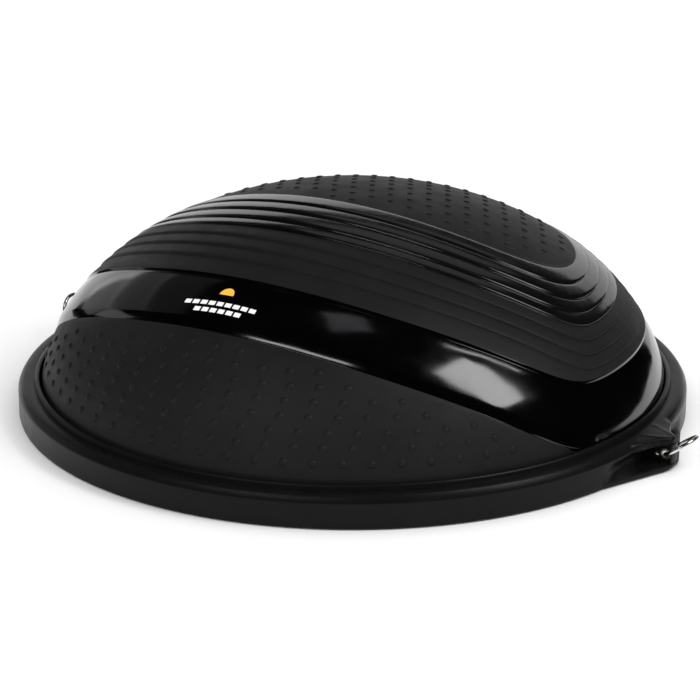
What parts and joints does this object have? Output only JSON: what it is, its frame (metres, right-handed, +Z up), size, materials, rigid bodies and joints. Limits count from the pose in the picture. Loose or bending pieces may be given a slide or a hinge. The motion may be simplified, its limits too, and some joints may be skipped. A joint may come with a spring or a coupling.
{
  "type": "balance dome trainer",
  "caption": "Air-filled half dome clamped by a round rim to a flat platform, with rubber feet, an underside air plug and a swinging tie ring on each ear of the rim.",
  "frame": {"origin": "centre of the underside, in the plane of the rubber feet", "axes": "+Z up through the top of the dome; +X through the ear and tie ring on the right; the smooth glossy band of the dome faces -Y"},
  "size_m": [0.6598, 0.6, 0.1945],
  "materials": {
    "rim_plastic": "fine-grained satin black moulded plastic",
    "platform_plastic": "fine-grained matt black moulded plastic",
    "dome_vinyl": "black vinyl, matt on the ribbed and dotted zones and glossy on the wide band",
    "valve_vinyl": "smooth soft pale grey vinyl",
    "foot_rubber": "matt black rubber",
    "screw_steel": "zinc-plated steel",
    "bright_metal": "bright nickel plating"
  },
  "bodies": {
    "base": {"clamp_rim": "rim_plastic", "base_plate": "platform_plastic", "dome_floor": "dome_vinyl", "dome_membrane": "dome_vinyl", "foot_1": "foot_rubber", "foot_2": "foot_rubber", "foot_3": "foot_rubber", "foot_4": "foot_rubber", "foot_5": "foot_rubber", "foot_6": "foot_rubber", "foot_7": "foot_rubber", "foot_8": "foot_rubber", "rim_screws": "screw_steel", "valve_body": "valve_vinyl", "eyelet_right": "bright_metal", "eyelet_left": "bright_metal", "eyelet_washer_right": "bright_metal", "eyelet_washer_left": "bright_metal", "ear_screw_right": "bright_metal", "ear_screw_left": "bright_metal"},
    "right_ring": {"tie_ring_right": "bright_metal"},
    "left_ring": {"tie_ring_left": "bright_metal"},
    "plug": {"valve_plug": "valve_vinyl"}
  },
  "joints": [
    {"name": "right_ring_swing", "type": "hinge", "parent": "base", "child": "right_ring", "pos_m": [0.313, 0, 0.0133], "axis": [0, -1, 0], "range_deg": [-55, 62]},
    {"name": "left_ring_swing", "type": "hinge", "parent": "base", "child": "left_ring", "pos_m": [-0.313, 0, 0.0133], "axis": [0, 1, 0], "range_deg": [-100, 17]},
    {"name": "plug_pull", "type": "slide", "parent": "base", "child": "plug", "axis": [0, 0, -1], "range_m": [0, 0.012]}
  ]
}
